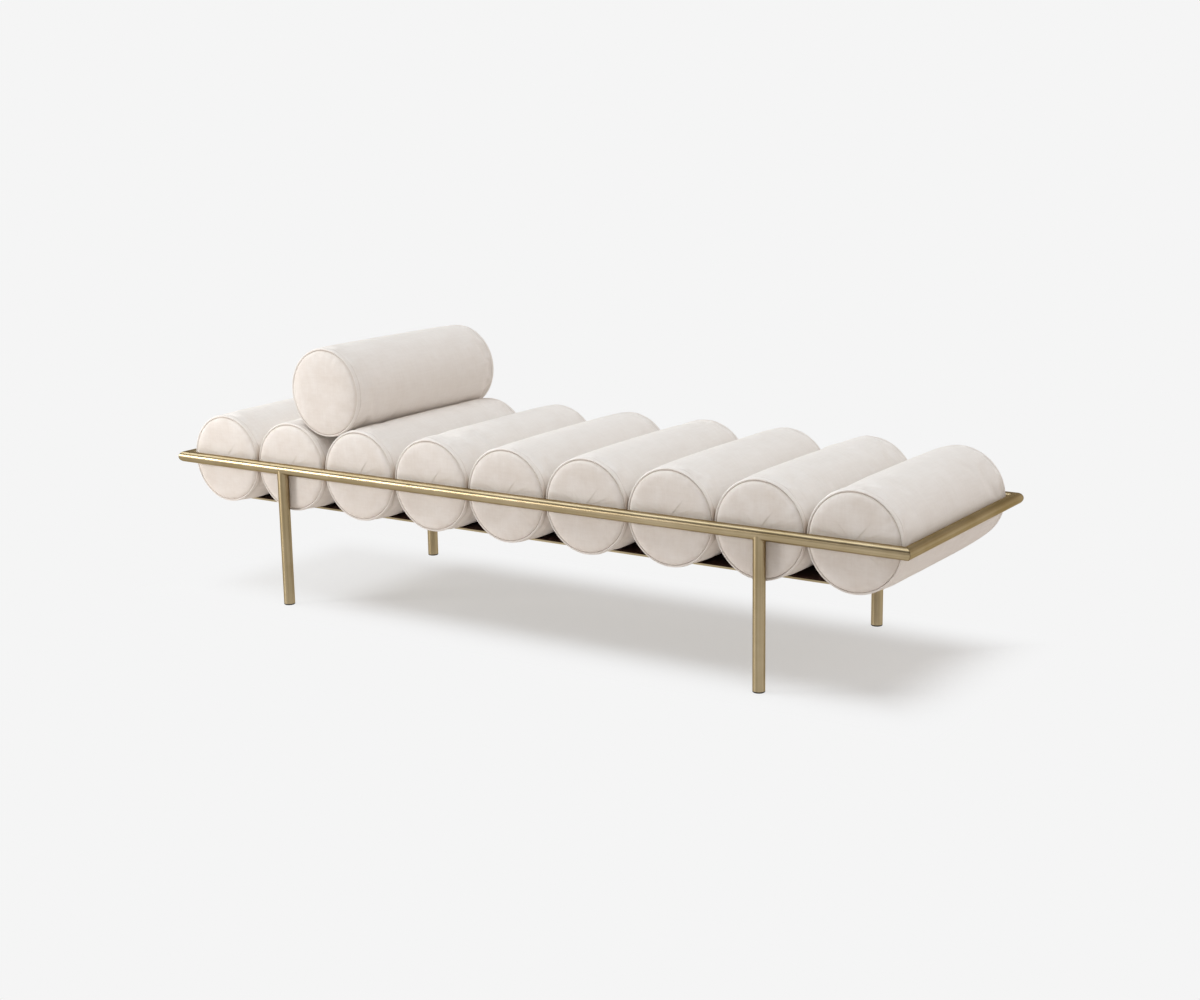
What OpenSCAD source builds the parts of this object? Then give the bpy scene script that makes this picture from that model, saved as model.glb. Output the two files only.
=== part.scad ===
// Backless divan: nine upholstered bolsters between the rails of a round-tube frame,
// tied together by a thin deck under them, with a loose neck roll in one valley.
// The origin is on the floor at the middle of the footprint. X runs along the divan,
// the front is at negative Y, and Z is up. All lengths are millimetres.

/* [Frame] */
// Diameter of the frame's round tube
tube_d = 25; // [22:0.5:28]
// Wall of the frame's round tube
tube_wall = 2; // [1.5:0.1:3]
// Height of the rails' centrelines above the floor
rail_z = 315; // [280:1:380]
// Distance from an end rail's centreline to a leg's centreline
leg_inset = 304.5; // [230:0.5:380]
// How much of the coped ears at a leg's top is ground away
cope_trim = 2; // [1:0.5:4]

/* [Corner joiners] */
// Length of a joiner's arm from the corner
joiner_arm = 45; // [36:1:60]
// Clearance all round a plug inside a tube
plug_fit = 0.2; // [0.1:0.05:0.4]
// Diameter of a joiner's screw
joiner_screw_d = 5; // [4:0.5:6]
// Length of a joiner's screw
joiner_screw_len = 8; // [6:0.5:10]
// Distance from the corner to a joiner's screw
joiner_screw_at = 30; // [24:1:32]
// How far a joiner's screw lies below the tube's skin
joiner_screw_sink = 0.5; // [0.3:0.1:1]

/* [Glides] */
// Height of a glide's foot below the tube
glide_h = 3; // [2:0.5:6]
// Rounding of a glide's foot, cut as a chamfer
glide_chamfer = 1; // [0.5:0.1:1.5]
// Length of a glide's stem inside the leg
glide_stem = 18; // [12:1:30]

/* [Seat bolsters] */
// Diameter of a seat bolster at its middle
bolster_d = 200; // [180:1:220]
// Length of a seat bolster over its crowned ends
bolster_len = 500; // [420:1:640]
// Space between neighbouring bolsters
bolster_gap = 0.4; // [0.3:0.1:2]
// Space between an outer bolster and the end rail
bolster_end_space = 2; // [1:0.5:12]
// Space between a bolster's end and the long rail's tube
bolster_rail_gap = 0.3; // [0.2:0.1:1]

/* [Sewn covers] */
// Thickness of the linen with its quilted backing
cover_t = 2.5; // [2:0.1:4]
// How far an end panel bulges past its seam
end_crown = 3; // [1:0.5:8]
// How far an end seam is drawn in from the side
end_draw = 3; // [2:0.5:6]
// Length over which the side draws in to the seam
shoulder_len = 14; // [8:1:24]
// How much the side bulges from its ends to its middle
barrel_crown = 0.6; // [0.2:0.1:2]
// Width of the groove along an end seam
seam_w = 2; // [1:0.1:3]
// Depth of the groove along an end seam
seam_depth = 1.4; // [0.6:0.1:1.6]

/* [Bolster formers] */
// Diameter of a former's plywood disc
former_d = 150; // [120:1:156]
// Thickness of a former's plywood disc
disc_t = 18; // [12:1:25]
// Foam between a disc and the cover's end panel
end_pad = 22; // [14:1:40]
// Width of a former's batten
batten_w = 60; // [40:1:70]
// Thickness of a former's batten
batten_t = 20; // [15:1:25]
// How far a batten's corners stay inside the disc's rim
batten_inset = 1.5; // [0.5:0.5:4]
// Clearance between a former and its foam, and between the foam and its cover
foam_fit = 0.2; // [0.1:0.05:0.5]

/* [Rail pins] */
// Diameter of the pins that stand inward from the long rails
pin_d = 10; // [8:0.5:12]
// Clearance all round a pin in a plywood disc
pin_fit = 0.1; // [0.05:0.01:0.3]
// Clearance all round a pin or bolt where it passes through cloth, foam or plate
pass_clear = 0.5; // [0.3:0.1:1.5]

/* [Deck] */
// Thickness of the deck's plate
deck_t = 4; // [3:0.5:6]
// Distance from a long rail's centreline to the deck's edge
deck_setback = 88; // [70:1:110]
// How far the deck runs past the outer bolsters' centres
deck_end = 20; // [14:1:60]
// Radius of the deck's corners
deck_corner_r = 6; // [3:1:14]
// Thickness of the black felt on the deck
lining_t = 1.2; // [0.8:0.1:3]
// Bare margin of plate around the felt
lining_margin = 2; // [1:0.5:6]
// Space between the felt and the bolsters
deck_gap = 0.3; // [0.2:0.1:1]

/* [Deck bolts] */
// Diameter of a deck bolt
bolt_d = 6; // [5:0.5:8]
// Diameter of a deck bolt's head
bolt_head_d = 11; // [10:0.5:14]
// Height of a deck bolt's head
bolt_head_h = 3.3; // [2.5:0.1:5]
// Distance from the deck's long edge to a bolt
bolt_inset = 45; // [20:1:80]
// Diameter of the threaded insert in a batten
insert_d = 9; // [8.5:0.1:12]
// Length of the threaded insert in a batten
insert_len = 13; // [9:1:15]
// Clearance all round a bolt or screw in its threaded hole
thread_fit = 0.1; // [0.05:0.05:0.2]

/* [Neck roll] */
// Diameter of the neck roll at its middle
neck_roll_d = 198; // [150:1:204]
// Length of the neck roll over its crowned ends
neck_roll_len = 500; // [400:1:520]
// How far the neck roll lies behind the seat bolsters' middle
neck_roll_back = 9; // [0:1:20]
// Space between the resting neck roll and the bolsters under it
neck_roll_gap = 0.3; // [0.2:0.1:1]

/* [Hidden] */
$fn = 96;
bolster_count = 9;
neck_roll_after_count = 2;
overrun = 1;
crown_steps = 6;
shoulder_steps = 5;
side_steps = 5;
batten_turns = [0, 90, 180, 270];
corner_signs = [[-1, -1], [1, -1], [-1, 1], [1, 1]];

tube_r = tube_d / 2;
bore_d = tube_d - 2 * tube_wall;
plug_d = bore_d - 2 * plug_fit;
bolster_pitch = bolster_d + bolster_gap;
frame_x = bolster_count * bolster_d + (bolster_count - 1) * bolster_gap
    + 2 * bolster_end_space + tube_d;
frame_y = bolster_len + 2 * bolster_rail_gap + tube_d;
leg_x = frame_x / 2 - leg_inset;
mitre_reach = tube_r + overrun;

disc_outer = bolster_len / 2 - end_crown - end_pad;
disc_inner = disc_outer - disc_t;
batten_out = sqrt(pow(former_d / 2 - batten_inset, 2) - pow(batten_w / 2, 2));

deck_x = (bolster_count - 1) * bolster_pitch + 2 * deck_end;
deck_y = frame_y - 2 * deck_setback;
lining_top = rail_z - bolster_d / 2 - deck_gap;
deck_top = lining_top - lining_t;
deck_bottom = deck_top - deck_t;
bolt_y = deck_y / 2 - bolt_inset;
batten_bottom = rail_z - batten_out;

neck_roll_x = (bolster_x(neck_roll_after_count) + bolster_x(neck_roll_after_count + 1)) / 2;
neck_roll_z = rail_z
    + sqrt(pow((bolster_d + neck_roll_d) / 2 + neck_roll_gap, 2) - pow(bolster_pitch / 2, 2));

function bolster_x(i) = (i - (bolster_count + 1) / 2) * bolster_pitch;

// Half of a stuffed roll's outline, from the crown of its end to the middle of its side
function half_outline(r, h, groove_w, groove_d) =
    let (
        seam_r = r - barrel_crown - end_draw,
        seam_h = h - end_crown,
        side_h = seam_h - shoulder_len,
        start = asin(groove_w / 2 / end_draw)
    )
    concat(
        [for (i = [0:crown_steps]) let (s = i / crown_steps)
            [s * (seam_r - groove_w / 2), h - end_crown * s * s]],
        groove_w > 0 ? [[seam_r, seam_h - groove_d]] : [],
        [for (i = [groove_w > 0 ? 0 : 1:shoulder_steps])
            let (a = start + (90 - start) * i / shoulder_steps)
            [seam_r + end_draw * sin(a), seam_h - shoulder_len * (1 - cos(a))]],
        [for (i = [1:side_steps]) let (s = 1 - i / side_steps)
            [r - barrel_crown * s * s, side_h * s]]
    );

// A whole stuffed roll lying along Y, its outline spun about its own axis
module roll(r, h, groove_w = 0, groove_d = 0) {
    half = half_outline(r, h, groove_w, groove_d);
    other = [for (i = [len(half) - 2:-1:0]) [half[i][0], -half[i][1]]];
    rotate([90, 0, 0])
        rotate_extrude()
            polygon(concat(half, other));
}

module rod_x(length, d) {
    rotate([0, 90, 0])
        cylinder(h = length, d = d, center = true);
}

module rod_y(length, d) {
    rotate([90, 0, 0])
        cylinder(h = length, d = d, center = true);
}

module at_bolster(i) {
    translate([bolster_x(i), 0, rail_z])
        children();
}

// The upright holes or shanks of one bolster's deck bolts
module bolt_rods(i, d, from_z, to_z) {
    for (side = [-1, 1])
        translate([bolster_x(i), side * bolt_y, from_z])
            cylinder(h = to_z - from_z, d = d);
}

module every_bolt_rod(d, from_z, to_z) {
    for (i = [1:bolster_count])
        bolt_rods(i, d, from_z, to_z);
}

// One rail along X with its outer side at negative Y, mitred at both ends
module rail(length) {
    color("darkkhaki")
        difference() {
            intersection() {
                rod_x(length + 2 * mitre_reach, tube_d);
                translate([0, 0, -mitre_reach])
                    linear_extrude(2 * mitre_reach)
                        polygon([
                            [-length / 2 - mitre_reach, -mitre_reach],
                            [length / 2 + mitre_reach, -mitre_reach],
                            [length / 2 - mitre_reach, mitre_reach],
                            [-length / 2 + mitre_reach, mitre_reach]
                        ]);
            }
            rod_x(length + 4 * mitre_reach, bore_d);
            for (side = [-1, 1])
                translate([side * (length / 2 - joiner_screw_at), 0, -mitre_reach])
                    cylinder(h = mitre_reach, d = joiner_screw_d + 2 * thread_fit);
        }
}

module rail_front() {
    translate([0, -frame_y / 2, rail_z])
        rail(frame_x);
}

module rail_back() {
    translate([0, frame_y / 2, rail_z])
        rotate([0, 0, 180])
            rail(frame_x);
}

module rail_left() {
    translate([-frame_x / 2, 0, rail_z])
        rotate([0, 0, -90])
            rail(frame_y);
}

module rail_right() {
    translate([frame_x / 2, 0, rail_z])
        rotate([0, 0, 90])
            rail(frame_y);
}

// One tubular leg, its top coped to the long rail above it
module leg(signs) {
    color("darkkhaki")
        translate([signs[0] * leg_x, signs[1] * frame_y / 2, 0])
            difference() {
                translate([0, 0, glide_h])
                    cylinder(h = rail_z - cope_trim - glide_h, d = tube_d);
                cylinder(h = rail_z, d = bore_d);
                translate([0, 0, rail_z])
                    rod_x(2 * tube_d, tube_d);
            }
}

// One turned glide: a foot under the tube and a stem inside it
module glide(signs) {
    color("dimgray")
        translate([signs[0] * leg_x, signs[1] * frame_y / 2, 0])
            rotate_extrude()
                polygon([
                    [0, 0],
                    [tube_r - glide_chamfer, 0],
                    [tube_r, glide_chamfer],
                    [tube_r, glide_h],
                    [plug_d / 2, glide_h],
                    [plug_d / 2, glide_h + glide_stem - glide_chamfer],
                    [plug_d / 2 - glide_chamfer, glide_h + glide_stem],
                    [0, glide_h + glide_stem]
                ]);
}

// One solid elbow inside a mitred corner, drilled from below for its two screws
module joiner(signs) {
    color("silver")
        translate([signs[0] * frame_x / 2, signs[1] * frame_y / 2, rail_z])
            difference() {
                union() {
                    sphere(d = plug_d);
                    translate([-signs[0] * joiner_arm / 2, 0, 0])
                        rod_x(joiner_arm, plug_d);
                    translate([0, -signs[1] * joiner_arm / 2, 0])
                        rod_y(joiner_arm, plug_d);
                }
                joiner_screw_rods(signs, joiner_screw_d + 2 * thread_fit, -mitre_reach);
            }
}

// Two upright rods where a corner's screws go, from a given depth to the screws' tips
module joiner_screw_rods(signs, d, from_z) {
    tip = -tube_r + joiner_screw_sink + joiner_screw_len;
    for (place = [[-signs[0] * joiner_screw_at, 0], [0, -signs[1] * joiner_screw_at]])
        translate([place[0], place[1], from_z])
            cylinder(h = tip - from_z, d = d);
}

module joiner_screws() {
    color("silver")
        for (signs = corner_signs)
            translate([signs[0] * frame_x / 2, signs[1] * frame_y / 2, rail_z])
                joiner_screw_rods(signs, joiner_screw_d, -tube_r + joiner_screw_sink);
}

// The pins welded along a long rail's inner side, one for each bolster
module rail_pins(side) {
    pin_in = frame_y / 2 - disc_inner;
    color("silver")
        difference() {
            for (i = [1:bolster_count])
                translate([bolster_x(i), side * (frame_y / 2 - pin_in / 2), rail_z])
                    rod_y(pin_in, pin_d);
            translate([0, side * frame_y / 2, rail_z])
                rod_x(frame_x, tube_d);
        }
}

module rounded_plate(x, y, r, t) {
    linear_extrude(t)
        union() {
            square([x - 2 * r, y], center = true);
            square([x, y - 2 * r], center = true);
            for (signs = corner_signs)
                translate([signs[0] * (x / 2 - r), signs[1] * (y / 2 - r)])
                    circle(r);
        }
}

module deck_plate() {
    color("darkkhaki")
        difference() {
            translate([0, 0, deck_bottom])
                rounded_plate(deck_x, deck_y, deck_corner_r, deck_t);
            every_bolt_rod(bolt_d + 2 * pass_clear, deck_bottom - overrun, deck_top + overrun);
        }
}

module deck_lining() {
    color("black")
        difference() {
            translate([0, 0, deck_top])
                rounded_plate(
                    deck_x - 2 * lining_margin,
                    deck_y - 2 * lining_margin,
                    deck_corner_r,
                    lining_t
                );
            every_bolt_rod(bolt_d + 2 * pass_clear, deck_top - overrun, lining_top + overrun);
        }
}

// Button-headed bolts, up through the deck and the cover into the battens
module deck_bolts() {
    color("darkkhaki")
        for (i = [1:bolster_count]) {
            bolt_rods(i, bolt_d, deck_bottom, batten_bottom + insert_len);
            bolt_rods(i, bolt_head_d, deck_bottom - bolt_head_h, deck_bottom);
        }
}

module batten_inserts() {
    color("silver")
        difference() {
            every_bolt_rod(insert_d, batten_bottom, batten_bottom + insert_len);
            every_bolt_rod(
                bolt_d + 2 * thread_fit,
                batten_bottom - overrun,
                batten_bottom + insert_len + overrun
            );
        }
}

// One sewn cover: a hollow roll with a seam groove round each end
module bolster_cover(i) {
    color("linen")
        difference() {
            at_bolster(i)
                difference() {
                    roll(bolster_d / 2, bolster_len / 2, seam_w, seam_depth);
                    roll(bolster_d / 2 - cover_t, bolster_len / 2 - cover_t);
                    rod_y(bolster_len + 2 * overrun, pin_d + 2 * pass_clear);
                }
            bolt_rods(i, bolt_d + 2 * pass_clear, lining_top, batten_bottom);
        }
}

// One foam sleeve with its end pads, hollow where the former goes
module bolster_foam(i) {
    skin = cover_t + foam_fit;
    color("khaki")
        difference() {
            at_bolster(i)
                difference() {
                    roll(bolster_d / 2 - skin, bolster_len / 2 - skin);
                    rod_y(2 * (disc_outer + foam_fit), former_d + 2 * foam_fit);
                    rod_y(bolster_len, pin_d + 2 * pass_clear);
                }
            bolt_rods(i, bolt_d + 2 * pass_clear, lining_top, batten_bottom);
        }
}

// One timber former: two plywood discs joined by four battens
module bolster_former(i) {
    color("burlywood")
        difference() {
            at_bolster(i) {
                for (side = [-1, 1])
                    translate([0, side * (disc_outer + disc_inner) / 2, 0])
                        difference() {
                            rod_y(disc_t, former_d);
                            rod_y(disc_t + 2 * overrun, pin_d + 2 * pin_fit);
                        }
                for (turn = batten_turns)
                    rotate([0, turn, 0])
                        translate([-batten_w / 2, -disc_inner, -batten_out])
                            cube([batten_w, 2 * disc_inner, batten_t]);
            }
            bolt_rods(i, insert_d, batten_bottom - overrun, batten_bottom + insert_len);
            bolt_rods(i, bolt_d + 2 * thread_fit, batten_bottom, batten_bottom + batten_t + overrun);
        }
}

module at_neck_roll() {
    translate([neck_roll_x, neck_roll_back, neck_roll_z])
        children();
}

module neck_roll_cover() {
    color("linen")
        at_neck_roll()
            difference() {
                roll(neck_roll_d / 2, neck_roll_len / 2, seam_w, seam_depth);
                roll(neck_roll_d / 2 - cover_t, neck_roll_len / 2 - cover_t);
            }
}

module neck_roll_filling() {
    skin = cover_t + foam_fit;
    color("khaki")
        at_neck_roll()
            roll(neck_roll_d / 2 - skin, neck_roll_len / 2 - skin);
}

rail_front();
rail_back();
rail_left();
rail_right();
leg([-1, -1]);  // leg_front_left
leg([1, -1]);  // leg_front_right
leg([-1, 1]);  // leg_back_left
leg([1, 1]);  // leg_back_right
glide([-1, -1]);  // glide_front_left
glide([1, -1]);  // glide_front_right
glide([-1, 1]);  // glide_back_left
glide([1, 1]);  // glide_back_right
joiner([-1, -1]);  // joiner_front_left
joiner([1, -1]);  // joiner_front_right
joiner([-1, 1]);  // joiner_back_left
joiner([1, 1]);  // joiner_back_right
joiner_screws();
rail_pins(-1);  // rail_pins_front
rail_pins(1);  // rail_pins_back
deck_plate();
deck_lining();
deck_bolts();
batten_inserts();
for (i = [1:bolster_count]) {
    bolster_cover(i);
    bolster_foam(i);
    bolster_former(i);
}
neck_roll_cover();
neck_roll_filling();
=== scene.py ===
"""Looks of the backless divan: linen bolsters and a loose neck roll in a satin brass tube frame.

Everything is in metres in the CAD's frame. X runs along the divan, the front is at negative Y,
Z is up and the origin is on the floor at the middle of the footprint.
"""

import math

import bmesh
import bpy
from mathutils import Matrix, Vector, kdtree, noise


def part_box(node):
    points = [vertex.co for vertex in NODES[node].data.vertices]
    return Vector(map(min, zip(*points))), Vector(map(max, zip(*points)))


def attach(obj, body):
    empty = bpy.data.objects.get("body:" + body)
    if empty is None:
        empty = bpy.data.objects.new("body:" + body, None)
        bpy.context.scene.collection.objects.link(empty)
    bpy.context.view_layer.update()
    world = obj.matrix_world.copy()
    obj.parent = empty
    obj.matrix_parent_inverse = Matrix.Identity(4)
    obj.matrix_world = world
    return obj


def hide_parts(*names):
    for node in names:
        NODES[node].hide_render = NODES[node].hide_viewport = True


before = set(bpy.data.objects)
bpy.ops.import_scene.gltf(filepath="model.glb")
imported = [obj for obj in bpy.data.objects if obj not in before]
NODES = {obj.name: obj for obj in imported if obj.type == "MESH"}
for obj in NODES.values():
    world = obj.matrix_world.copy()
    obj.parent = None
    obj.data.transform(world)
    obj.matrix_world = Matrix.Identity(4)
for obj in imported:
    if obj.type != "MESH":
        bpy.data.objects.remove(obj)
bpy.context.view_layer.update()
MM = 0.001

# Sizes, taken from the CAD's nodes

RAIL_LOW, RAIL_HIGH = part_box("rail_front")
TUBE_R = (RAIL_HIGH.z - RAIL_LOW.z) / 2
RAIL_Z = RAIL_HIGH.z - TUBE_R
RAIL_Y = -RAIL_LOW.y - TUBE_R
RAIL_X = RAIL_HIGH.x - TUBE_R
FELT_LOW, FELT_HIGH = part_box("deck_lining")
ROLL_LOW, ROLL_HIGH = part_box("neck_roll_cover")
BOLSTERS = range(1, 10)
CENTRE_X = {i: sum(c.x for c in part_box(f"bolster_cover_{i}")) / 2 for i in BOLSTERS}
PITCH = CENTRE_X[2] - CENTRE_X[1]
HALF_LENGTH = 250.0 * MM
LIFT = 3.2 * MM  # the photographed bolsters' middles stand this far above the rails'
SIDE_R = 100.6 * MM
SEAM_R = 95.7 * MM
SEAM_Y = 243.6 * MM
STITCH_Y = 237.5 * MM
ROLL_SCALE = 0.985  # the neck roll is a little slimmer than the bolsters


# Materials

def linear(colour):
    """A "#rrggbb" sRGB colour as linear RGBA."""
    parts = [int(colour[k:k + 2], 16) / 255 for k in (1, 3, 5)]
    return [c / 12.92 if c <= 0.04045 else ((c + 0.055) / 1.055) ** 2.4 for c in parts] + [1.0]


COLOUR = 2  # which output of a Mix node carries its colour


def add(tree, kind, settings=None, links=None, output=0):
    """One node, of which this output is returned. settings are its own properties, and links give each input
    a value or another node's output."""
    node = tree.nodes.new("ShaderNode" + kind)
    for name, value in (settings or {}).items():
        setattr(node, name, value)
    for name, value in (links or {}).items():
        if isinstance(value, bpy.types.NodeSocket):
            tree.links.new(value, node.inputs[name])
        else:
            node.inputs[name].default_value = value
    return node.outputs[output]


def material(name):
    """An empty node material, its tree and its shader."""
    made = bpy.data.materials.new(name)
    made.use_nodes = True
    return made, made.node_tree, made.node_tree.nodes["Principled BSDF"]


def woven_linen():
    """Natural linen, plain woven from slubby yarn and piece-washed: matt, pale, with thick and thin
    threads that read as a faint crosshatch, and a little fuzz that lightens it at the edges.
    Real yarns are 0.9 mm apart; they are drawn 2.4 mm apart so that the weave shows."""
    yarn_apart = 2.4 * MM
    made, tree, shader = material("linen_plain_woven")
    cloth = add(tree, "UVMap", {"uv_map": "cloth"})
    parts = tree.nodes.new("ShaderNodeSeparateXYZ")
    tree.links.new(cloth, parts.inputs[0])
    turn = math.pi / yarn_apart
    across = add(tree, "Math", {"operation": "MULTIPLY"}, {0: parts.outputs[0], 1: turn})
    along = add(tree, "Math", {"operation": "MULTIPLY"}, {0: parts.outputs[1], 1: turn})
    warp_wave = add(tree, "Math", {"operation": "SINE"}, {0: across})
    weft_wave = add(tree, "Math", {"operation": "SINE"}, {0: along})
    cell = add(tree, "Math", {"operation": "MULTIPLY"}, {0: warp_wave, 1: weft_wave})
    on_top = add(tree, "MapRange", None, {"Value": cell, "From Min": -0.3, "From Max": 0.3})
    rounded = add(tree, "Math", {"operation": "ABSOLUTE"}, {0: cell})
    # slubs: yarns about 5 mm wide as drawn and 40 to 60 mm long, in both directions
    warp_place = add(tree, "Mapping", None, {"Vector": cloth, "Scale": (190.0, 22.0, 1.0)})
    weft_place = add(tree, "Mapping", None,
                     {"Vector": cloth, "Scale": (24.0, 205.0, 1.0), "Location": (3.0, 7.0, 2.0)})
    warp_slub = add(tree, "TexNoise", None,
                    {"Vector": warp_place, "Scale": 1.0, "Detail": 3.0, "Roughness": 0.6})
    weft_slub = add(tree, "TexNoise", None,
                    {"Vector": weft_place, "Scale": 1.0, "Detail": 3.0, "Roughness": 0.6})
    slub = add(tree, "Mix", {"data_type": "FLOAT"}, {"Factor": on_top, 2: warp_slub, 3: weft_slub})
    both = add(tree, "Mix", {"data_type": "FLOAT"}, {"Factor": 0.5, 2: warp_slub, 3: weft_slub})
    yarn = add(tree, "Mix", {"data_type": "FLOAT"}, {"Factor": 0.6, 2: slub, 3: both})
    yarn_shade = add(tree, "MapRange", None, {"Value": yarn, "From Min": 0.25, "From Max": 0.75})
    # washing leaves cloudy patches, from 50 mm across down to 5 mm
    cloud = add(tree, "TexNoise", None, {"Vector": cloth, "Scale": 20.0, "Detail": 4.0, "Roughness": 0.62})
    cloud_shade = add(tree, "MapRange", None, {"Value": cloud, "From Min": 0.3, "From Max": 0.7})
    colour = add(tree, "Mix", {"data_type": "RGBA"},
                 {"Factor": yarn_shade, 6: linear("#eae4de"), 7: linear("#f2ede8")}, COLOUR)
    # the end panels, handled most, are cloudier than the sides
    panel = tree.nodes.new("ShaderNodeAttribute")
    panel.attribute_name = "panel"
    cloudy = add(tree, "MapRange", None, {"Value": panel.outputs["Fac"], "To Min": 0.6, "To Max": 1.5})
    cloudy = add(tree, "Math", {"operation": "MULTIPLY"}, {0: cloud_shade, 1: cloudy})
    colour = add(tree, "Mix", {"data_type": "RGBA", "blend_type": "MULTIPLY", "clamp_factor": False},
                 {"Factor": cloudy, 6: colour, 7: linear("#f8f6f4")}, COLOUR)
    # the cover's painted light: a painted highlight on the raised sewn edge where it faces up and to the
    # left, towards the lamps; painted shade in the crease where bolsters press together; and painted shade in
    # the seam's groove, where two turned edges meet, palest at the left and darkest at the right, away from
    # the light
    for share, tone in (("painted_rim_highlight", "#faf7f3"), ("painted_crease_shade", "#97795a"), ("seam", "#80694f")):
        worn = tree.nodes.new("ShaderNodeAttribute")
        worn.attribute_name = share
        colour = add(tree, "Mix", {"data_type": "RGBA"},
                     {"Factor": worn.outputs["Fac"], 6: colour, 7: linear(tone)}, COLOUR)
    tree.links.new(colour, shader.inputs["Base Color"])
    weave_bump = add(tree, "Bump", None, {"Height": rounded, "Strength": 0.3, "Distance": 0.25 * MM})
    slub_bump = add(tree, "Bump", None,
                    {"Height": yarn_shade, "Strength": 0.35, "Distance": 0.3 * MM, "Normal": weave_bump})
    tree.links.new(slub_bump, shader.inputs["Normal"])
    shader.inputs["Roughness"].default_value = 0.9
    shader.inputs["IOR"].default_value = 1.46
    shader.inputs["Specular IOR Level"].default_value = 0.25
    shader.inputs["Sheen Weight"].default_value = 0.12
    shader.inputs["Sheen Roughness"].default_value = 0.5
    shader.inputs["Sheen Tint"].default_value = linear("#fff6ea")
    return made


def satin_brass(name, along, light, dark, mitred=False):
    """Brass, drawn to size and then satin polished on a belt that runs round the tube: fine scratches round
    it stretch each highlight along it, faint lines from drawing run lengthways, slightly browner patches lie
    between them, and age has dulled the glancing reflections at the edges.
    Real scratches are 0.1 mm apart; they are drawn 0.7 mm apart so that they show."""
    made, tree, shader = material(name)
    place = tree.nodes.new("ShaderNodeTexCoord").outputs["Object"]
    fine, coarse = [60.0] * 3, [320.0] * 3
    fine["XYZ".index(along)] = 1400.0
    coarse["XYZ".index(along)] = 2.5
    fine_place = add(tree, "Mapping", None, {"Vector": place, "Scale": fine})
    coarse_place = add(tree, "Mapping", None, {"Vector": place, "Scale": coarse})
    scratch = add(tree, "TexNoise", None,
                  {"Vector": fine_place, "Scale": 1.0, "Detail": 3.0, "Roughness": 0.6})
    streak = add(tree, "TexNoise", None,
                 {"Vector": coarse_place, "Scale": 1.0, "Detail": 2.0, "Roughness": 0.5})
    patch = add(tree, "TexNoise", None, {"Vector": place, "Scale": 9.0, "Detail": 3.0, "Roughness": 0.6})
    mixed = add(tree, "Mix", {"data_type": "FLOAT"}, {"Factor": 0.55, 2: streak, 3: patch})
    shade = add(tree, "MapRange", None, {"Value": mixed, "From Min": 0.35, "From Max": 0.65})
    colour = add(tree, "Mix", {"data_type": "RGBA"},
                 {"Factor": shade, 6: linear(dark), 7: linear(light)}, COLOUR)
    if mitred:
        # wax and dust darken a hairline along each mitre, where |x| - |y| is the same all the way down
        axes = tree.nodes.new("ShaderNodeSeparateXYZ")
        tree.links.new(place, axes.inputs[0])
        from_x = add(tree, "Math", {"operation": "ABSOLUTE"}, {0: axes.outputs[0]})
        from_y = add(tree, "Math", {"operation": "ABSOLUTE"}, {0: axes.outputs[1]})
        apart = add(tree, "Math", {"operation": "SUBTRACT"}, {0: from_x, 1: from_y})
        off = add(tree, "Math", {"operation": "SUBTRACT"}, {0: apart, 1: RAIL_X - RAIL_Y})
        off = add(tree, "Math", {"operation": "ABSOLUTE"}, {0: off})
        line = add(tree, "MapRange", None,
                   {"Value": off, "From Min": 0.4 * MM, "From Max": 1.1 * MM, "To Min": 0.7, "To Max": 0.0})
        colour = add(tree, "Mix", {"data_type": "RGBA"},
                     {"Factor": line, 6: colour, 7: linear("#3c2c16")}, COLOUR)
    tree.links.new(colour, shader.inputs["Base Color"])
    rough = add(tree, "MapRange", None,
                {"Value": scratch, "From Min": 0.3, "From Max": 0.7, "To Min": 0.29, "To Max": 0.37})
    tree.links.new(rough, shader.inputs["Roughness"])
    bump = add(tree, "Bump", None, {"Height": scratch, "Strength": 0.15, "Distance": 0.04 * MM})
    bump = add(tree, "Bump", None,
               {"Height": streak, "Strength": 0.12, "Distance": 0.06 * MM, "Normal": bump})
    tree.links.new(bump, shader.inputs["Normal"])
    shader.inputs["Metallic"].default_value = 1.0
    shader.inputs["Specular Tint"].default_value = linear("#ccb998")
    lengthways = tree.nodes.new("ShaderNodeCombineXYZ")
    lengthways.inputs["XYZ".index(along)].default_value = 1.0
    tree.links.new(lengthways.outputs[0], shader.inputs["Tangent"])
    shader.inputs["Anisotropic"].default_value = 0.72
    return made


def plain_material(name, first, second, scale, roughness, metallic=0.0, bump=0.1 * MM):
    """A two-tone surface with a fine grain, for pieces whose finish is plain."""
    made, tree, shader = material(name)
    place = tree.nodes.new("ShaderNodeTexCoord").outputs["Object"]
    sized = add(tree, "Mapping", None, {"Vector": place, "Scale": scale})
    grain = add(tree, "TexNoise", None, {"Vector": sized, "Scale": 1.0, "Detail": 4.0, "Roughness": 0.6})
    shade = add(tree, "MapRange", None, {"Value": grain, "From Min": 0.3, "From Max": 0.7})
    colour = add(tree, "Mix", {"data_type": "RGBA"},
                 {"Factor": shade, 6: linear(first), 7: linear(second)}, COLOUR)
    tree.links.new(colour, shader.inputs["Base Color"])
    raised = add(tree, "Bump", None, {"Height": grain, "Strength": 0.4, "Distance": bump})
    tree.links.new(raised, shader.inputs["Normal"])
    shader.inputs["Roughness"].default_value = roughness
    shader.inputs["Metallic"].default_value = metallic
    return made


LINEN = woven_linen()
BRASS_X = satin_brass("brass_tube_satin_along_x", "X", "#b8a788", "#9e8c6a", mitred=True)
BRASS_Y = satin_brass("brass_tube_satin_along_y", "Y", "#b8a788", "#9e8c6a", mitred=True)
BRASS_Z = satin_brass("brass_tube_satin_along_z", "Z", "#b8a788", "#9e8c6a")
BRASS_SHEET = satin_brass("brass_sheet_satin", "X", "#bead8c", "#a49270")
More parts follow.
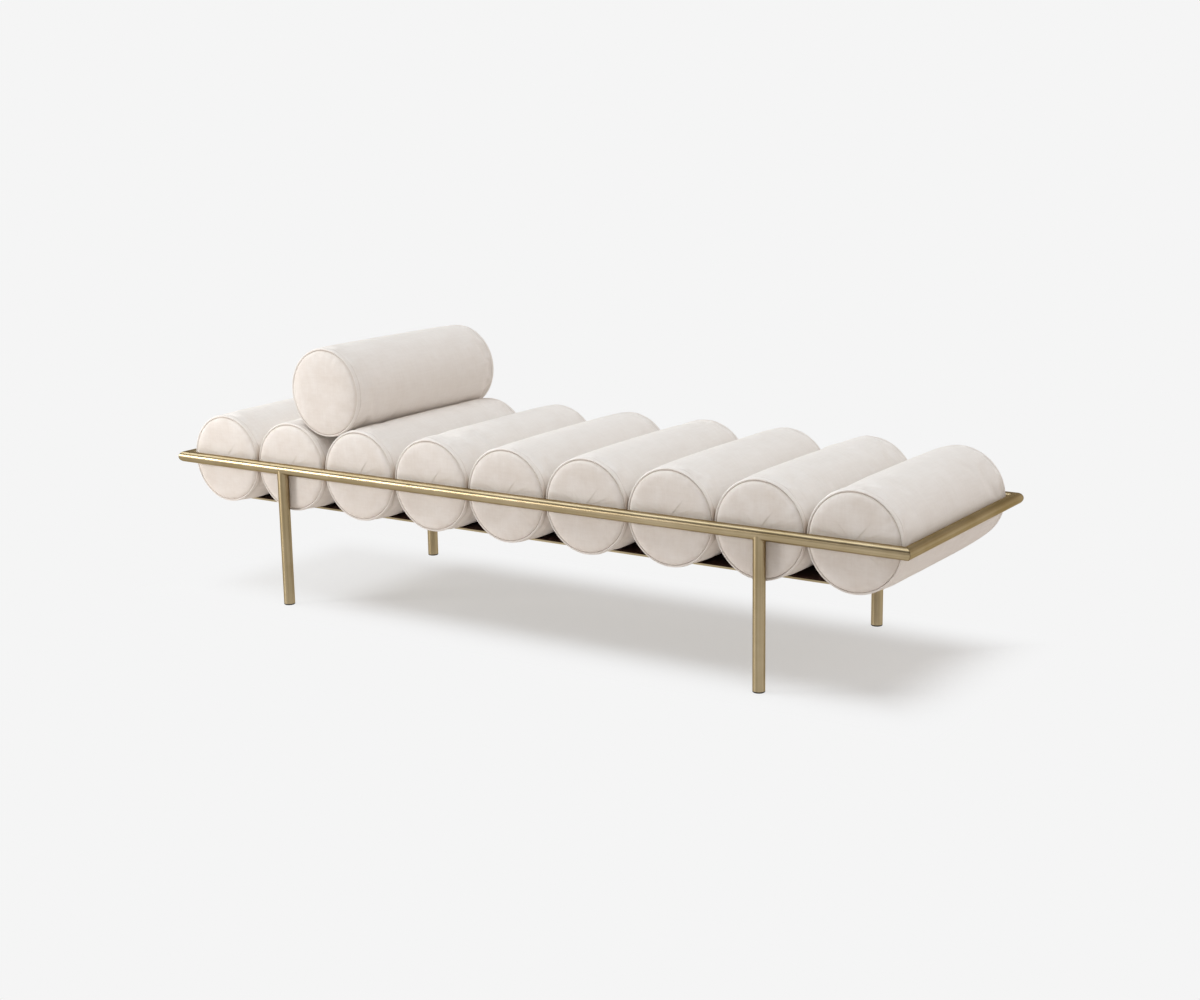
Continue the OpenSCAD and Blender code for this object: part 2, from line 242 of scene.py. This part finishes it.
# wool felt, pressed and dyed black: swallows light, with fibres 0.3 mm thick drawn at 1 mm
FELT = plain_material("wool_felt_pressed_black", "#2c1208", "#43200f", (900.0,) * 3, 1.0, bump=0.4 * MM)
# nylon, injection moulded with a fine spark texture: dull, nearly black brown
NYLON = plain_material("nylon_moulded", "#1b1613", "#28211c", (1500.0,) * 3, 0.55, bump=0.03 * MM)
# mild steel, turned and zinc plated: bright and slightly cloudy
STEEL = plain_material("steel_zinc_plated", "#a9adb0", "#c2c5c7", (300.0,) * 3, 0.35, metallic=1.0,
                       bump=0.02 * MM)
# brass screws, turned and waxed
BOLT_BRASS = plain_material("brass_turned", "#a8956f", "#bba981", (500.0,) * 3, 0.3, metallic=1.0,
                            bump=0.02 * MM)
# birch plywood and battens, sanded: pale, with grain 3 mm wide along the batten
TIMBER = plain_material("birch_sanded", "#c9a877", "#e0c79b", (300.0, 9.0, 300.0), 0.6, bump=0.1 * MM)
# polyurethane foam, slabstock cut: open cells of about 1 mm
FOAM = plain_material("foam_open_cell", "#e6dcb8", "#f2ebd0", (1000.0,) * 3, 0.95, bump=0.5 * MM)

FINISH = {
    "rail_front": BRASS_X, "rail_back": BRASS_X, "rail_left": BRASS_Y, "rail_right": BRASS_Y, "leg": BRASS_Z,
    "glide": NYLON, "joiner": STEEL, "rail_pins": STEEL, "deck_plate": BRASS_SHEET, "deck_lining": FELT,
    "deck_bolts": BOLT_BRASS, "batten_inserts": STEEL, "bolster_cover": LINEN, "neck_roll_cover": LINEN,
    "bolster_foam": FOAM, "neck_roll_filling": FOAM, "bolster_former": TIMBER,
}
for name, node in NODES.items():
    finish = next(made for start, made in FINISH.items() if name.startswith(start))
    for slot in node.material_slots:
        slot.link = "OBJECT"
        slot.material = finish


# Stuffed rolls

# One end of a stuffed roll in millimetres, from the middle of its end panel over the sewn edge:
# radius, and distance from the roll's middle
END_PANEL = [(0, 250.0), (22, 249.95), (44, 249.85), (62, 249.7), (76, 249.5), (84.5, 249.15), (88.8, 248.6),
             (91.6, 247.9), (93.5, 246.9), (94.7, 245.6), (95.3, 244.4), (95.7, 243.6)]
SEWN_EDGE = [(96.1, 244.4), (96.7, 245.9), (97.6, 246.9), (98.6, 247.0), (99.5, 246.2), (100.15, 244.8),
             (100.5, 242.8), (100.6, 240.6), (100.45, 238.6), (100.1, 237.5), (100.45, 236.4), (100.6, 234.6),
             (100.6, 230.0), (100.6, 225.0)]
AROUND = 160
ALONG = 74
END_LENGTH = 25.0 * MM  # of a roll's end, past which the filling no longer bulges the cloth
BULGE = 0.006
KNEE = 1.2 * MM  # how gently the cloth bends where something flattens it
CLEAR = 0.08 * MM  # what is left between pieces that rest on each other
DRAWN_FROM, DRAWN_TO = 165.0 * MM, 236.0 * MM  # the stretch over which the end seam draws the side in


def smooth_step(low, high, value):
    t = min(max((value - low) / (high - low), 0.0), 1.0)
    return t * t * (3 - 2 * t)


def soft_limit(value, limit, knee):
    """value, held below limit, with a rounded start of length knee."""
    start = limit - knee
    return value if value < start else limit - knee * math.exp(-(value - start) / knee)


def roll_mesh(around, cuts):
    """A stuffed roll along Y about the origin, spun from half its outline."""
    bm = bmesh.new()
    half = [(r * MM, y * MM) for r, y in END_PANEL + SEWN_EDGE]
    outline = half + [(r, -y) for r, y in reversed(half)]
    points = [bm.verts.new((r, y, 0)) for r, y in outline]
    edges = [bm.edges.new(pair) for pair in zip(points, points[1:])]
    bmesh.ops.subdivide_edges(bm, edges=[edges[len(half) - 1]], cuts=cuts)
    bmesh.ops.spin(bm, geom=bm.verts[:] + bm.edges[:], cent=(0, 0, 0), axis=(0, 1, 0), dvec=(0, 0, 0),
                   angle=2 * math.pi, steps=around, use_merge=True)
    bmesh.ops.remove_doubles(bm, verts=bm.verts, dist=1e-6)
    bmesh.ops.recalc_face_normals(bm, faces=bm.faces)
    return bm


def lay_cloth(bm, number):
    """The cloth's own UV map, in metres: upright on the end panels, and round and along the side, which
    closes below."""
    cloth = bm.loops.layers.uv.new("cloth")
    shift = Vector((0.731 * number, 0.417 * number))
    for face in bm.faces:
        middle = face.calc_center_median()
        turn = math.atan2(middle.x, middle.z)
        panel = math.hypot(middle.x, middle.z) < SEAM_R and abs(middle.y) > SEAM_Y - 1 * MM
        for loop in face.loops:
            p = loop.vert.co
            if panel:
                loop[cloth].uv = shift + Vector((p.x + math.copysign(1.0, p.y), p.z))
            else:
                own = math.atan2(p.x, p.z)
                own += 2 * math.pi * round((turn - own) / (2 * math.pi))
                loop[cloth].uv = shift + Vector((own * SIDE_R, p.y))


def simulate_stuffing(bm, seed):
    """Cloth simulation of the cover's fabric under its filling. The sewn rings are pinned, the fabric is
    slightly too big for them, and the pressure fills it. Returns where points started and how they moved."""
    coarse = bpy.data.meshes.new("stuffing_start")
    bm.to_mesh(coarse)
    start = bpy.data.objects.new("stuffing_start", coarse)
    bpy.context.scene.collection.objects.link(start)
    remesh = start.modifiers.new("remesh", "REMESH")
    remesh.mode, remesh.voxel_size = "VOXEL", 6 * MM
    graph = bpy.context.evaluated_depsgraph_get()
    mesh = bpy.data.meshes.new_from_object(start.evaluated_get(graph))
    start.modifiers.clear()
    bpy.data.objects.remove(start)
    fabric = bpy.data.objects.new("stuffing_fabric", mesh)
    bpy.context.scene.collection.objects.link(fabric)
    normals = [v.normal.copy() for v in mesh.vertices]
    sewn = []
    for v, normal in zip(mesh.vertices, normals):
        radius = math.hypot(v.co.x, v.co.z)
        if radius > 93 * MM and abs(v.co.y) > 241 * MM:
            sewn.append(v.index)
        else:
            wave = noise.noise(v.co * 22.0 + Vector((seed * 7.3, seed * 3.1, seed)))
            v.co += normal * wave * 0.9 * MM
    pins = fabric.vertex_groups.new(name="sewn")
    pins.add(sewn, 1.0, "REPLACE")
    rest = [v.co.copy() for v in mesh.vertices]
    cloth = fabric.modifiers.new("cloth", "CLOTH")
    settings = cloth.settings
    settings.quality = 6
    settings.mass = 0.35
    settings.tension_stiffness = settings.compression_stiffness = 18
    settings.shear_stiffness = 6
    settings.bending_stiffness = 1.2
    settings.vertex_group_mass = "sewn"
    settings.use_pressure = True
    settings.uniform_pressure_force = 4.0
    settings.shrink_min = -0.012
    settings.effector_weights.gravity = 0
    cloth.collision_settings.use_collision = False
    cloth.point_cache.frame_start, cloth.point_cache.frame_end = 1, 20
    scene = bpy.context.scene
    for step in range(1, 21):
        scene.frame_set(step)
    graph = bpy.context.evaluated_depsgraph_get()
    after = [v.co.copy() for v in fabric.evaluated_get(graph).data.vertices]
    scene.frame_set(1)
    bpy.data.objects.remove(fabric)
    cap = 5 * MM
    moves = []
    for a, b in zip(rest, after):
        move = b - a
        moves.append(move * (min(1.0, cap / move.length) if move.length > 0 else 1.0))
    return rest, moves


def carry(points, rest, moves):
    """The simulated moves, spread over another mesh's points."""
    tree = kdtree.KDTree(len(rest))
    for k, p in enumerate(rest):
        tree.insert(p, k)
    tree.balance()
    carried = []
    for p in points:
        total, move = 0.0, Vector()
        for _, k, far in tree.find_n(p, 6):
            weight = 1.0 / (far * far + 4e-6)
            total += weight
            move += moves[k] * weight
        carried.append(move / total)
    return carried


def stuffing_fields(bm):
    """One list of moves for each variant of the simulated fabric, for the fine mesh's points."""
    fields = []
    coarse = roll_mesh(64, 24)
    points = [v.co.copy() for v in bm.verts]
    for seed in (1, 2):
        rest, moves = simulate_stuffing(coarse, seed)
        field = carry(points, rest, moves)
        swell = [m.dot(Vector((p.x, 0, p.z)).normalized()) for p, m in zip(points, field) if abs(p.y) < 0.2]
        print("STUFFING seed", seed, "points", len(rest),
              "mean swell mm", round(sum(swell) / len(swell) / MM, 2),
              "longest mm", round(max(m.length for m in field) / MM, 2))
        fields.append(field)
    coarse.free()
    return fields


def stuffed_roll(name, body, number, centre, settle, fields):
    """One finished roll: the spun cover, the simulated fabric, and then how it settles against what it
    touches. Its point attributes mark the end panels and paint light and shade on the cloth: painted shade
    along the seam and in the crease beside the next bolster, and a painted highlight on the sewn edge."""
    bm = roll_mesh(AROUND, ALONG)
    field = fields[number % len(fields)]
    turn = Matrix.Rotation(math.radians(67.0 * number), 3, "Y")
    flip = Vector((1, -1 if number % 3 == 1 else 1, 1))
    for v in bm.verts:
        v.co = (turn @ v.co) * flip
    if flip.y < 0:
        bmesh.ops.reverse_faces(bm, faces=bm.faces)
    lay_cloth(bm, number)
    seam = bm.verts.layers.float.new("seam")
    panel = bm.verts.layers.float.new("panel")
    painted_rim_highlight = bm.verts.layers.float.new("painted_rim_highlight")
    painted_crease_shade = bm.verts.layers.float.new("painted_crease_shade")
    for v, move in zip(bm.verts, field):
        p = v.co.copy()
        radius = math.hypot(p.x, p.z)
        from_seam = math.hypot(radius - SEAM_R, abs(p.y) - SEAM_Y)
        from_stitch = abs(abs(p.y) - STITCH_Y) if radius > SEAM_R + MM else 1.0
        # painted shade along the seam's groove, heavier towards +x, away from the light, and a fainter
        # painted line of shade along the topstitching
        v[seam] = max((0.55 + 0.3 * p.x / 0.1) * math.exp(-(from_seam / (0.7 * MM)) ** 2),
                      0.3 * math.exp(-(from_stitch / (0.8 * MM)) ** 2))
        v[panel] = 1.0 if radius < SEAM_R - MM and abs(p.y) > SEAM_Y else 0.0
        # painted highlight on the sewn edge, on the side that faces up and to the left, towards the lamps
        edge = radius > SEAM_R + 0.3 * MM and abs(p.y) > STITCH_Y + MM
        v[painted_rim_highlight] = smooth_step(0.2, 1.0, (0.25 * p.z - 0.97 * p.x) / radius) if edge else 0.0
        if abs(p.y) < HALF_LENGTH - END_LENGTH:
            fuller = 1 + BULGE * (1 - (p.y / (HALF_LENGTH - END_LENGTH)) ** 2)
            v.co.x *= fuller
            v.co.z *= fuller
        v.co += (turn @ move) * flip
        v.co = settle(v.co)
        # painted shade in the crease beside the next bolster, where little light gets in
        v[painted_crease_shade] = (1 - v[panel]) * 0.8 * math.exp(-gap_to_next(number, v.co) / (4.0 * MM))
        v.co += centre
    mesh = bpy.data.meshes.new(name)
    bm.to_mesh(mesh)
    bm.free()
    mesh.shade_smooth()
    piece = bpy.data.objects.new(name, mesh)
    bpy.context.scene.collection.objects.link(piece)
    mesh.materials.append(LINEN)
    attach(piece, body)
    return piece


ROLL_CENTRE = Vector(((ROLL_LOW.x + ROLL_HIGH.x) / 2, (ROLL_LOW.y + ROLL_HIGH.y) / 2, 0.0))
ROLL_RISE = math.sqrt(((1 + ROLL_SCALE) * SIDE_R) ** 2 - (PITCH / 2) ** 2) + LIFT - 0.2 * MM
ROLL_CENTRE.z = RAIL_Z + ROLL_RISE
FELT_DROP = RAIL_Z - FELT_HIGH.z - 0.05 * MM


def gap_to_next(number, p):
    """How far a point of a seat bolster is from the plane in which it touches the next one. The loose neck
    roll and the outer sides touch none."""
    free = number not in BOLSTERS or (number == 1 and p.x < 0) or (number == 9 and p.x > 0)
    return 1.0 if free else max(PITCH / 2 - abs(p.x), 0.0)


def settle_bolster(number):
    """How a seat bolster settles: drawn in a little at the left of its ends, fullest halfway along its top,
    squeezed by its neighbours, flat on the felt, held behind the rails and dented where the neck roll lies
    on it."""
    def settle(p):
        x, y, z = p
        end = smooth_step(DRAWN_FROM, DRAWN_TO, abs(y))
        free = (number == 1 and x < 0) or (number == 9 and x > 0)
        if x < 0:
            x *= 1 - (0.02 if y < 0 else 0.006) * end
        crown = 0.018 * max(0.0, 1 - (y / 0.235) ** 2)
        z = z * (1 + (0.001 + crown if z > 0 else 0.03 * (1 - end))) + LIFT
        limit = PITCH / 2 - 0.06 * MM if not free else RAIL_X - abs(CENTRE_X[number]) - TUBE_R - 0.2 * MM
        x = math.copysign(soft_limit(abs(x), limit, 1.4 * MM), x)
        over = smooth_step(FELT_HIGH.y, FELT_HIGH.y + 0.012, abs(y))
        z = -soft_limit(-z, FELT_DROP + 3 * MM * over, KNEE)
        if number in (2, 3):
            towards = Vector((ROLL_CENTRE.x - CENTRE_X[number], 0, ROLL_RISE))
            reach = towards.length / 2 - CLEAR
            towards.normalize()
            at = x * towards.x + z * towards.z
            if abs(y - ROLL_CENTRE.y) < HALF_LENGTH:
                held = soft_limit(at, reach, KNEE)
                x += (held - at) * towards.x
                z += (held - at) * towards.z
        room = RAIL_Y - TUBE_R - CLEAR
        y = math.copysign(min(abs(y), room if abs(z) < 20 * MM else room + 1.2 * MM), y)
        return Vector((x, y, z))
    return settle


def settle_neck_roll(p):
    """How the neck roll settles: a little behind the bolsters' middle with its front end high, as
    photographed, drawn in sideways at that end, and pressed a little flat against the two bolsters that it
    lies on."""
    x, y, z = p
    narrow = 0.02 * smooth_step(DRAWN_FROM, DRAWN_TO, -y)
    x *= ROLL_SCALE * (1 - narrow)
    z = z * ROLL_SCALE + 0.5 * MM - 0.01 * y
    y += 4.0 * MM
    for number in (2, 3):
        towards = Vector((CENTRE_X[number] - ROLL_CENTRE.x, 0, -ROLL_RISE))
        reach = towards.length / 2 - CLEAR
        towards.normalize()
        at = x * towards.x + z * towards.z
        held = soft_limit(at, reach, KNEE)
        x += (held - at) * towards.x
        z += (held - at) * towards.z
    return Vector((x, y, z))


fine = roll_mesh(AROUND, ALONG)
FIELDS = stuffing_fields(fine)
fine.free()
for i in BOLSTERS:
    centre = Vector((CENTRE_X[i], 0, RAIL_Z))
    made = stuffed_roll(f"bolster_{i}", "frame", i, centre, settle_bolster(i), FIELDS)
    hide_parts(f"bolster_cover_{i}", f"bolster_foam_{i}")
made = stuffed_roll("neck_roll", "neck_roll", 11, ROLL_CENTRE, settle_neck_roll, FIELDS)
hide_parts("neck_roll_cover", "neck_roll_filling")


# Brazed joints

BEAD_R = 1.3 * MM


def braze_bead(name, x, y):
    """The bead of braze where a coped leg meets the rail: a thin ring that follows the cope and sinks into
    the tubes at front and back, where they run into one another."""
    bm = bmesh.new()
    upright = Matrix.Translation((TUBE_R, 0, 0)) @ Matrix.Rotation(math.radians(90), 4, "X")
    section = bmesh.ops.create_circle(bm, segments=10, radius=BEAD_R, matrix=upright)
    bmesh.ops.spin(bm, geom=section["verts"] + bm.edges[:], cent=(0, 0, 0), axis=(0, 0, 1), dvec=(0, 0, 0),
                   angle=2 * math.pi, steps=64, use_merge=True)
    bmesh.ops.remove_doubles(bm, verts=bm.verts, dist=1e-6)
    bmesh.ops.recalc_face_normals(bm, faces=bm.faces)
    for v in bm.verts:
        turn = math.atan2(v.co.y, v.co.x)
        sunk = 1 - 0.2 * (1 - smooth_step(0.25, 0.7, abs(math.cos(turn))))
        drop = TUBE_R * abs(math.cos(turn))
        v.co = Vector((x + v.co.x * sunk, y + v.co.y * sunk, RAIL_Z + v.co.z - drop))
    mesh = bpy.data.meshes.new(name)
    bm.to_mesh(mesh)
    bm.free()
    mesh.shade_smooth()
    bead = bpy.data.objects.new(name, mesh)
    bpy.context.scene.collection.objects.link(bead)
    mesh.materials.append(BRASS_Z)
    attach(bead, "frame")


for corner in ("front_left", "front_right", "back_left", "back_right"):
    low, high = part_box("leg_" + corner)
    braze_bead("braze_" + corner, (low.x + high.x) / 2, (low.y + high.y) / 2)


# Floor, light and camera

def plane(name, size, finish):
    bm = bmesh.new()
    bmesh.ops.create_grid(bm, x_segments=1, y_segments=1, size=size)
    mesh = bpy.data.meshes.new(name)
    bm.to_mesh(mesh)
    bm.free()
    mesh.materials.append(finish)
    made = bpy.data.objects.new(name, mesh)
    bpy.context.scene.collection.objects.link(made)
    return made


PALE = "#f5f5f5"
floor_paint, tree, shader = material("floor_matt_paint")
shader.inputs["Roughness"].default_value = 1.0
shader.inputs["Specular IOR Level"].default_value = 0.0
ray = tree.nodes.new("ShaderNodeLightPath")
# the light that comes back from the floor is a little less and warmer than its paint would give, so that
# the undersides are as dark and warm as photographed
colour = add(tree, "Mix", {"data_type": "RGBA"},
             {"Factor": ray.outputs["Is Diffuse Ray"], 6: linear(PALE), 7: linear("#e5ddd7")}, COLOUR)
tree.links.new(colour, shader.inputs["Base Color"])
glow = add(tree, "Emission", None, {"Color": linear(PALE)})
# the camera sees part of the floor's own colour through the shadow, least of it under the middle of the
# divan and all of it from 100 mm outside its outline, where the photographed floor is plain again
SHADOW_LIFT, SHADOW_LIFT_LEFT = 0.44, 0.72
ground = tree.nodes.new("ShaderNodeSeparateXYZ")
tree.links.new(tree.nodes.new("ShaderNodeTexCoord").outputs["Object"], ground.inputs[0])
out_x = add(tree, "Math", {"operation": "ABSOLUTE"}, {0: ground.outputs[0]})
out_x = add(tree, "Math", {"operation": "SUBTRACT"}, {0: out_x, 1: RAIL_X})
out_y = add(tree, "Math", {"operation": "ABSOLUTE"}, {0: ground.outputs[1]})
out_y = add(tree, "Math", {"operation": "SUBTRACT"}, {0: out_y, 1: RAIL_Y})
outside = add(tree, "Math", {"operation": "MAXIMUM"}, {0: out_x, 1: out_y})
under = add(tree, "MapRange", {"interpolation_type": "SMOOTHSTEP"},
            {"Value": ground.outputs[0], "From Min": -0.62, "From Max": -0.42, "To Min": SHADOW_LIFT_LEFT,
             "To Max": SHADOW_LIFT})
lift = add(tree, "MapRange", {"interpolation_type": "SMOOTHSTEP"},
           {"Value": outside, "From Min": -0.13, "From Max": 0.10, "To Min": under, "To Max": 1.0})
seen = add(tree, "Math", {"operation": "MAXIMUM"},
           {0: ray.outputs["Is Camera Ray"], 1: ray.outputs["Is Glossy Ray"]})
share = add(tree, "Math", {"operation": "MULTIPLY"}, {0: seen, 1: lift})
surface = add(tree, "MixShader", None, {0: share, 1: shader.outputs[0], 2: glow})
tree.links.new(surface, tree.nodes["Material Output"].inputs["Surface"])
plane("floor", 60.0, floor_paint)

# the studio: a pale wall at the right end, dimmer behind the divan and dark at the left and at the front;
# the camera sees the plain backdrop instead wherever it looks past the floor, and so does the metal low
# down behind the divan
WALLS = {(0, 1): 0.67, (0, -1): 0.08, (1, 1): 0.36}
DARK = 0.06
WALL_TINT = (1.0, 0.935, 0.89)
SKY_TINT = (0.9, 0.955, 1.0)
world = bpy.data.worlds.new("studio")
bpy.context.scene.world = world
world.use_nodes = True
tree = world.node_tree
ray = tree.nodes.new("ShaderNodeLightPath")
direction = tree.nodes.new("ShaderNodeSeparateXYZ")
tree.links.new(tree.nodes.new("ShaderNodeTexCoord").outputs["Generated"], direction.inputs[0])
level = DARK
for (axis, sign), strength in WALLS.items():
    facing = add(tree, "Math", {"operation": "MULTIPLY"}, {0: direction.outputs[axis], 1: sign * strength})
    facing = add(tree, "Math", {"operation": "MAXIMUM"}, {0: facing, 1: 0.0})
    level = add(tree, "Math", {"operation": "ADD"}, {0: facing, 1: level})
room = add(tree, "VectorMath", {"operation": "SCALE"}, {0: WALL_TINT, "Scale": level})
low = add(tree, "MapRange", None,
          {"Value": direction.outputs[2], "From Min": 0.1, "From Max": 0.25, "To Min": 1.0, "To Max": 0.0})
behind = add(tree, "MapRange", None, {"Value": direction.outputs[1], "From Min": 0.0, "From Max": 0.3})
shown = add(tree, "Math", {"operation": "MULTIPLY"}, {0: low, 1: behind})
shown = add(tree, "Math", {"operation": "MULTIPLY"}, {0: shown, 1: ray.outputs["Is Glossy Ray"]})
seen = add(tree, "Math", {"operation": "MAXIMUM"},
           {0: ray.outputs["Is Camera Ray"], 1: ray.outputs["Is Transmission Ray"]})
seen = add(tree, "Math", {"operation": "MAXIMUM"}, {0: seen, 1: shown})
colour = add(tree, "Mix", {"data_type": "RGBA"}, {"Factor": seen, 6: room, 7: linear(PALE)}, COLOUR)
tree.links.new(colour, tree.nodes["Background"].inputs["Color"])


def lamp(name, kind, toward, energy, place=(0, 0, 3), **settings):
    data = bpy.data.lights.new(name, kind)
    data.energy = energy
    for key, value in settings.items():
        setattr(data, key, value)
    made = bpy.data.objects.new(name, data)
    made.location = place
    made.rotation_euler = Vector(toward).to_track_quat("Z", "Y").to_euler()
    made.visible_camera = False
    bpy.context.scene.collection.objects.link(made)
    return made


# together with the walls these give the floor about 1, where a colour shows as it is written
OVER_FROM = Vector((0, -0.1, 1)).normalized()
lamp("softbox_overhead", "SUN", OVER_FROM, 0.445 * math.pi / OVER_FROM.z, angle=math.radians(50),
     color=SKY_TINT)
FRONT_FROM = Vector((0, -0.25, 1)).normalized()
front = lamp("softbox_overhead_front", "SUN", FRONT_FROM, 0.1 * math.pi / FRONT_FROM.z,
             angle=math.radians(26), color=SKY_TINT)
front.visible_glossy = False
LEFT_FROM = Vector((-0.7, -0.12, 0.7)).normalized()
lamp("softbox_left", "SUN", LEFT_FROM, 0.17 * math.pi / LEFT_FROM.z, angle=math.radians(30), color=SKY_TINT)
lamp("fill_front_left", "AREA", (-1.4, -1.2, 0.4), 46.0, (-2.6, -2.3, 1.05), shape="RECTANGLE", size=0.86,
     size_y=0.72, color=(0.995, 0.98, 0.965))
# a tall white card behind that lamp, which only the metal mirrors
card = lamp("card_front_left", "AREA", (-1.4, -1.2, 0.2), 17.0, (-2.7, -2.4, 1.05), shape="RECTANGLE",
            size=1.5, size_y=2.0)
card.visible_diffuse = False

# the photograph's camera, from points measured on it
yaw, pitch, roll = (math.radians(a) for a in (33.846, -12.722, -0.916))
forward = Vector((-math.sin(yaw) * math.cos(pitch), math.cos(yaw) * math.cos(pitch), math.sin(pitch)))
right = forward.cross(Vector((0, 0, 1))).normalized()
up = right.cross(forward)
tilted_right = right * math.cos(roll) + up * math.sin(roll)
tilted_up = up * math.cos(roll) - right * math.sin(roll)
camera_data = bpy.data.cameras.new("camera")
camera_data.lens, camera_data.sensor_width = 1882.7 * 36 / 1200, 36
camera_data.clip_start, camera_data.clip_end = 0.05, 200
camera = bpy.data.objects.new("camera", camera_data)
turned = Matrix((tilted_right, tilted_up, -forward)).transposed().to_4x4()
camera.matrix_world = Matrix.Translation((2.2968, -3.3174, 1.1707)) @ turned
bpy.context.scene.collection.objects.link(camera)
bpy.context.scene.camera = camera
bpy.context.scene.view_settings.view_transform = "Standard"
